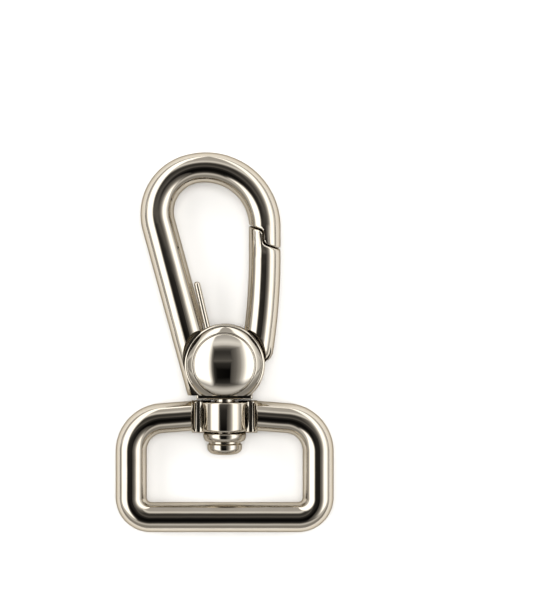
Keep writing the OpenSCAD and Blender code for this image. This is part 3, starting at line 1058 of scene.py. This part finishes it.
@dataclass
class StrapLoop:
    """Swivelling loop for the webbing, with its barrel and cuffs, in millimetres."""

    finish: bpy.types.Material
    bar_r: float = 2.4
    side_r: float = 2.5
    side_x: float = 15.05
    start_x: float = 3.2
    lift: float = 0.5
    drop: float = 16.2
    slope_deg: float = 4.3
    upper_r: float = 5.3
    lower_r: float = 3.2
    bend_steps: int = 28
    barrel_top: float = 6.05
    barrel_h: float = 4.8
    barrel_r: float = 3.8
    barrel_top_r: float = 0.3
    barrel_foot_r: float = 0.45
    bore_r: float = 1.65
    cuff_r: float = 2.62
    cuff_x: float = 5.3
    cuff_start_x: float = 2.2
    cuff_edge_r: float = 0.15
    hollow_r: float = 0.9
    hollow_x: float = 4.2
    hollow_z: float = 1.85
    hollow_start_x: float = 2.8
    hollow_end_deg: float = 320.0
    hollow_rim_z: float = 2.7
    hollow_top_z: float = 5.0
    hollow_reach: float = 12.0

    @property
    def mid(self) -> float:
        """Depth of the barrel's middle below the pivot."""
        return self.barrel_top + self.barrel_h / 2

    def right_half(self) -> tuple[list[Vector], list[float]]:
        """Draws the right half of the loop from the barrel to the lower bar.

        Returns:
            The points, and the bar's radius at each.
        """
        slope = math.radians(self.slope_deg)
        start_y = -(self.mid - self.lift + self.start_x * math.tan(slope))
        upper_x = self.side_x - self.upper_r
        run = upper_x + self.upper_r * math.sin(slope) - self.start_x
        start = Vector((self.start_x, start_y, 0.0))
        upper_y = start.y - run * math.tan(slope) - self.upper_r * math.cos(slope)
        lower_x = self.side_x - self.lower_r
        lower_y = -(self.mid + self.drop - self.lower_r)
        steps, start_deg = self.bend_steps, 90 - self.slope_deg
        upper = arc(Vector((upper_x, upper_y, 0.0)), self.upper_r, start_deg, 0.0, steps)
        lower = arc(Vector((lower_x, lower_y, 0.0)), self.lower_r, 0.0, -90.0, steps)
        radii = [
            self.bar_r,
            *blend(self.bar_r, self.side_r, steps),
            *blend(self.side_r, self.bar_r, steps),
        ]
        return [start, *upper, *lower], radii

    def build(self) -> None:
        """Makes the loop's bar, the barrel round the swivel's rivet and the two cuffs."""
        points, radii = self.right_half()
        mirrored = [Vector((-p.x, p.y, 0.0)) for p in reversed(points)]
        bar = solid(sweep(points + mirrored, radii + radii[::-1]))
        self.hollow_out(bar)
        Piece("loop_bar", Body.LOOP, Slot.CAST, self.finish, ("strap_loop",)).seat(bar)

        barrel = solid(along_swivel(lathe(self.barrel_profile())))
        Piece("loop_barrel", Body.LOOP, Slot.CAST, self.finish).seat(barrel)

        for side, name in zip(BOTH, ("cuff_right", "cuff_left")):
            Piece(name, Body.LOOP, Slot.CAST, self.finish).seat(self.cuff(side))

    def barrel_profile(self) -> list[Pair]:
        """Draws the barrel's section round its bore.

        Returns:
            (radius, depth) pairs.
        """
        top, foot = self.barrel_top, self.barrel_top + self.barrel_h
        top_r, foot_r = self.barrel_top_r, self.barrel_foot_r
        profile = [(self.bore_r, top)]
        profile += round_corner((self.barrel_r - top_r, top + top_r), top_r, -90, 0)
        profile += round_corner((self.barrel_r - foot_r, foot - foot_r), foot_r, 0, 90)
        return [*profile, (self.bore_r, foot), (self.bore_r, top)]

    def cuff(self, side: int) -> bpy.types.Object:
        """Makes one cuff, hollowed towards the barrel on both faces.

        Args:
            side: 1 for the right cuff and -1 for the left one.
        Returns:
            The cuff.
        """
        edge_r = self.cuff_edge_r
        section = [(0.0, self.cuff_start_x), (self.cuff_r, self.cuff_start_x)]
        section += round_corner((self.cuff_r - edge_r, self.cuff_x - edge_r), edge_r, 0, 90)
        section += [(0.0, self.cuff_x)]
        bm = lathe(section, CUFF_STEPS)
        bmesh.ops.rotate(bm, verts=bm.verts, matrix=Matrix.Rotation(side * math.pi / 2, 3, "Y"))
        bmesh.ops.translate(bm, vec=(0.0, -self.mid, 0.0), verts=bm.verts)
        cuff = solid(bm)
        self.hollow_out(cuff)
        ease_edges(cuff)
        return cuff

    def hollow_out(self, body: bpy.types.Object) -> None:
        """Cuts the waists beside the barrel into a body, two on each face.

        Args:
            body: the bar or a cuff.
        """
        middle = Vector((self.hollow_x, self.hollow_z, 0.0))
        inner, outer, top = self.hollow_start_x, self.cuff_x, self.hollow_top_z
        outline = in_plane([(inner, top), (inner, self.hollow_z)])
        outline += arc(middle, self.hollow_r, 180, self.hollow_end_deg, steps=14)
        outline += in_plane([(outer, self.hollow_rim_z), (outer, top)])
        for side in BOTH:
            for face in BOTH:
                waist = slab(outline, self.hollow_reach)
                bmesh.ops.scale(waist, vec=(side, face, 1.0), verts=waist.verts)
                carve(body, solid(along_swivel(waist)), Cut.AWAY)


@dataclass
class Swivel:
    """Washer under the barrel, and the rivet that holds barrel and washer."""

    finish: bpy.types.Material
    washer_top: float = 11.05
    washer_t: float = 1.4
    washer_r: float = 3.45
    washer_edge_r: float = 0.3
    washer_round: Pair = (0.65, 1.0)
    bore_gap: float = 0.05
    head_r: float = 2.8
    head_t: float = 2.1
    head_round: Pair = (1.5, 1.05)
    neck: float = 0.25
    shank_r: float = 1.6
    shank_top: float = 4.25

    def build(self) -> None:
        """Makes the washer, and the rivet with its rounded head."""
        top, foot = self.washer_top, self.washer_top + self.washer_t
        bore, edge = self.shank_r + self.bore_gap, self.washer_edge_r
        profile = [(bore, top), *round_corner((self.washer_r - edge, top + edge), edge, -90, 0)]
        profile += quarter_ellipse(self.washer_r, foot, self.washer_round)
        profile += [(bore, foot), (bore, top)]
        washer = solid(along_swivel(lathe(profile)))
        Piece("washer", Body.HOOK, Slot.TURNED, self.finish, ("swivel_washer",)).seat(washer)

        neck_r, end = self.head_r - self.neck, foot + self.head_t
        head = [(0.0, self.shank_top), (self.shank_r, self.shank_top), (self.shank_r, foot)]
        head += [(neck_r, foot), (neck_r, foot + self.neck), (self.head_r, foot + 2 * self.neck)]
        head += quarter_ellipse(self.head_r, end, self.head_round)
        head += [(0.0, end)]
        rivet = solid(along_swivel(lathe(head)))
        Piece("swivel_pin", Body.HOOK, Slot.TURNED, self.finish, ("swivel_rivet",)).seat(rivet)


@dataclass
class Studio:
    """Pale floor, soft light and the camera that looks straight down, in metres."""

    view_centre: Pair = (0.0073, 0.0068)
    view_height: float = 0.0966
    lens: float = 120.0
    sensor_width: float = 36.0
    floor_half: float = 1.5
    floor_hex: str = "FAF9F7"
    floor_roughness: float = 0.9
    floor_shine: float = 0.2
    lamp_place: tuple[float, float, float] = (0.05, 0.08, 0.9)
    lamp_size: float = 0.5
    lamp_power: float = 5.0
    light_strength: float = 2.4
    dim_warmth: float = 0.08
    # Light by angle from straight up, towards +X: a soft box on each side of a dark middle
    across: dict[float, float] = field(
        default_factory=lambda: {
            -90: 0.38, -80: 0.42, -73: 0.8, -64: 2.3, -33: 2.3, -28: 1.1, -25: 0.3, -21: 0.05,
            -15: 0.008, 11: 0.003, 13: 0.1, 23: 0.22, 31: 0.45, 38: 1.0, 46: 2.2, 62: 2.3,
            76: 0.93, 88: 0.4,
        }
    )
    # Light by angle from straight up, towards +Y
    along: dict[float, float] = field(
        default_factory=lambda: {
            -90: 0.5, -72: 0.34, -65: 0.45, -60: 0.65, -54: 0.9, -49: 0.65, -44: 0.2, -38: 0.04,
            -26: 0.002, -12: 0.002, -7: 0.02, 1: 0.04, 4: 0.1, 6.5: 0.16, 9: 0.12, 14: 0.09,
            20: 0.06, 25: 0.055, 30: 0.12, 35: 0.4, 39: 0.95, 44: 1.15, 48: 0.95, 53: 0.68,
            58: 0.62, 66: 0.62, 80: 0.6, 90: 0.55,
        }
    )
    # Share of the side boxes that is left, by angle towards +Y
    side_share: dict[float, float] = field(default_factory=lambda: {-52: 0.0, -36: 1.0})

    def ramp(
        self, tree: bpy.types.NodeTree, angle: bpy.types.NodeSocket, stops: dict[float, Colour]
    ) -> bpy.types.NodeSocket:
        """Turns an angle into a colour by a ramp from -90 to 90 degrees.

        Args:
            tree: the world's node tree.
            angle: the angle in radians.
            stops: angle in degrees, and the colour there.
        Returns:
            The ramp's colour.
        """
        quarter = math.pi / 2
        spread = add_node(
            tree, "ShaderNodeMapRange", Value=angle, From_Min=-quarter, From_Max=quarter
        )
        node = add_node(tree, "ShaderNodeValToRGB", Fac=spread.outputs["Result"])
        elements = node.color_ramp.elements
        first, *rest = sorted(stops.items())
        elements.remove(elements[1])
        elements[0].position = (first[0] + 90) / 180
        elements[0].color = first[1]
        for deg, colour in rest:
            elements.new((deg + 90) / 180).color = colour
        return node.outputs["Color"]

    def shade(self, light: float) -> Colour:
        """Gives a ramp's colour for a level of light, warmer where it is dim.

        Args:
            light: the level, where 1 is white.
        Returns:
            Linear RGBA.
        """
        share = light / self.light_strength
        warmth = self.dim_warmth * (1 - min(light, 1.0))
        return (share, share * (1 - warmth / 2), share * (1 - warmth), 1.0)

    def build_world(self) -> None:
        """Makes the surroundings that the plate mirrors."""
        world = bpy.data.worlds.new("studio")
        bpy.context.scene.world = world
        world.use_nodes = True
        tree = world.node_tree
        place = add_node(tree, "ShaderNodeTexCoord").outputs["Generated"]
        axes = add_node(tree, "ShaderNodeSeparateXYZ", Vector=place)
        angles = []
        for axis in ("X", "Y"):
            angle = tree.nodes.new("ShaderNodeMath")
            angle.operation = "ARCTAN2"
            for socket, level in zip(angle.inputs, (axes.outputs[axis], axes.outputs["Z"])):
                fill(tree, socket, level)
            angles.append(angle.outputs["Value"])
        sides = self.ramp(tree, angles[0], {d: self.shade(v) for d, v in self.across.items()})
        ends = self.ramp(tree, angles[1], {d: self.shade(v) for d, v in self.along.items()})
        share = {d: (v, v, v, 1.0) for d, v in self.side_share.items()}
        sides = mix(tree, Mix.MASK, 1.0, sides, self.ramp(tree, angles[1], share))
        back = tree.nodes["Background"]
        fill(tree, back.inputs["Color"], mix(tree, Mix.BRIGHTER, 1.0, sides, ends))
        fill(tree, back.inputs["Strength"], self.light_strength)

    def build_floor(self) -> None:
        """Makes the plain floor that the hook lies on."""
        bm = bmesh.new()
        bmesh.ops.create_grid(bm, x_segments=1, y_segments=1, size=self.floor_half)
        floor = solid(bm, "floor")
        paint = bpy.data.materials.new("white_card")
        paint.use_nodes = True
        shader = paint.node_tree.nodes["Principled BSDF"]
        shader.inputs["Base Color"].default_value = linear_colour(self.floor_hex)
        shader.inputs["Roughness"].default_value = self.floor_roughness
        shader.inputs["Specular IOR Level"].default_value = self.floor_shine
        floor.data.materials.append(paint)
        floor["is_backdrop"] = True

    def build_lamp(self) -> None:
        """Hangs a square soft box that faces the hook."""
        light = bpy.data.lights.new("lamp_top", "AREA")
        light.size = self.lamp_size
        light.energy = self.lamp_power
        lamp = bpy.data.objects.new("lamp_top", light)
        bpy.context.collection.objects.link(lamp)
        lamp.location = self.lamp_place
        lamp.rotation_euler = Vector(self.lamp_place).to_track_quat("Z", "Y").to_euler()
        lamp.visible_glossy = False

    def build_camera(self) -> None:
        """Makes the camera at the photograph's viewing angle."""
        data = bpy.data.cameras.new("camera")
        data.lens = self.lens
        data.sensor_width = self.sensor_width
        camera = bpy.data.objects.new("camera", data)
        bpy.context.collection.objects.link(camera)
        distance = self.view_height * self.lens / self.sensor_width
        camera.location = (*self.view_centre, PIVOT.z + distance)
        bpy.context.scene.camera = camera

    def build(self) -> None:
        """Makes the whole studio."""
        self.build_world()
        self.build_floor()
        self.build_lamp()
        self.build_camera()
        bpy.context.scene.view_settings.view_transform = "Standard"


def report_size(when: str, sizes: dict[str, list[list[float]]]) -> None:
    """Notes the object's box.

    Args:
        when: name of the moment.
        sizes: the boxes noted so far.
    """
    low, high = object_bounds()
    sizes[when] = [list(low), list(high)]
    log.info("%s: %s to %s", when, [round(v, 5) for v in low], [round(v, 5) for v in high])


def main() -> None:
    """Builds the studio and every sub-assembly in order."""
    logging.basicConfig(level=logging.INFO, format="%(message)s")
    sizes: dict[str, list[list[float]]] = {}
    report_size("cad", sizes)
    Studio().build()
    cast, dome = CAST_NICKEL.build(), DOME_NICKEL.build()
    turned, wire = TURNED_NICKEL.build(), SPRING_WIRE.build()
    bow, latch, hub = Bow(), Latch(), Hub()
    gate = Gate(bow, latch, hub, cast)
    spring = Spring(bow, gate.root_deg, wire)
    out_deg = gate.root_deg + gate.lean_deg
    slot = hub.slot(out_deg - 90, out_deg, spring.leg_deg)
    HookBody(bow, latch, hub, slot, cast).build()
    gate.build()
    spring.build()
    Domes(hub, dome).build()
    StrapLoop(cast).build()
    Swivel(turned).build()
    report_size("dressed", sizes)


if __name__ == "__main__":
    main()
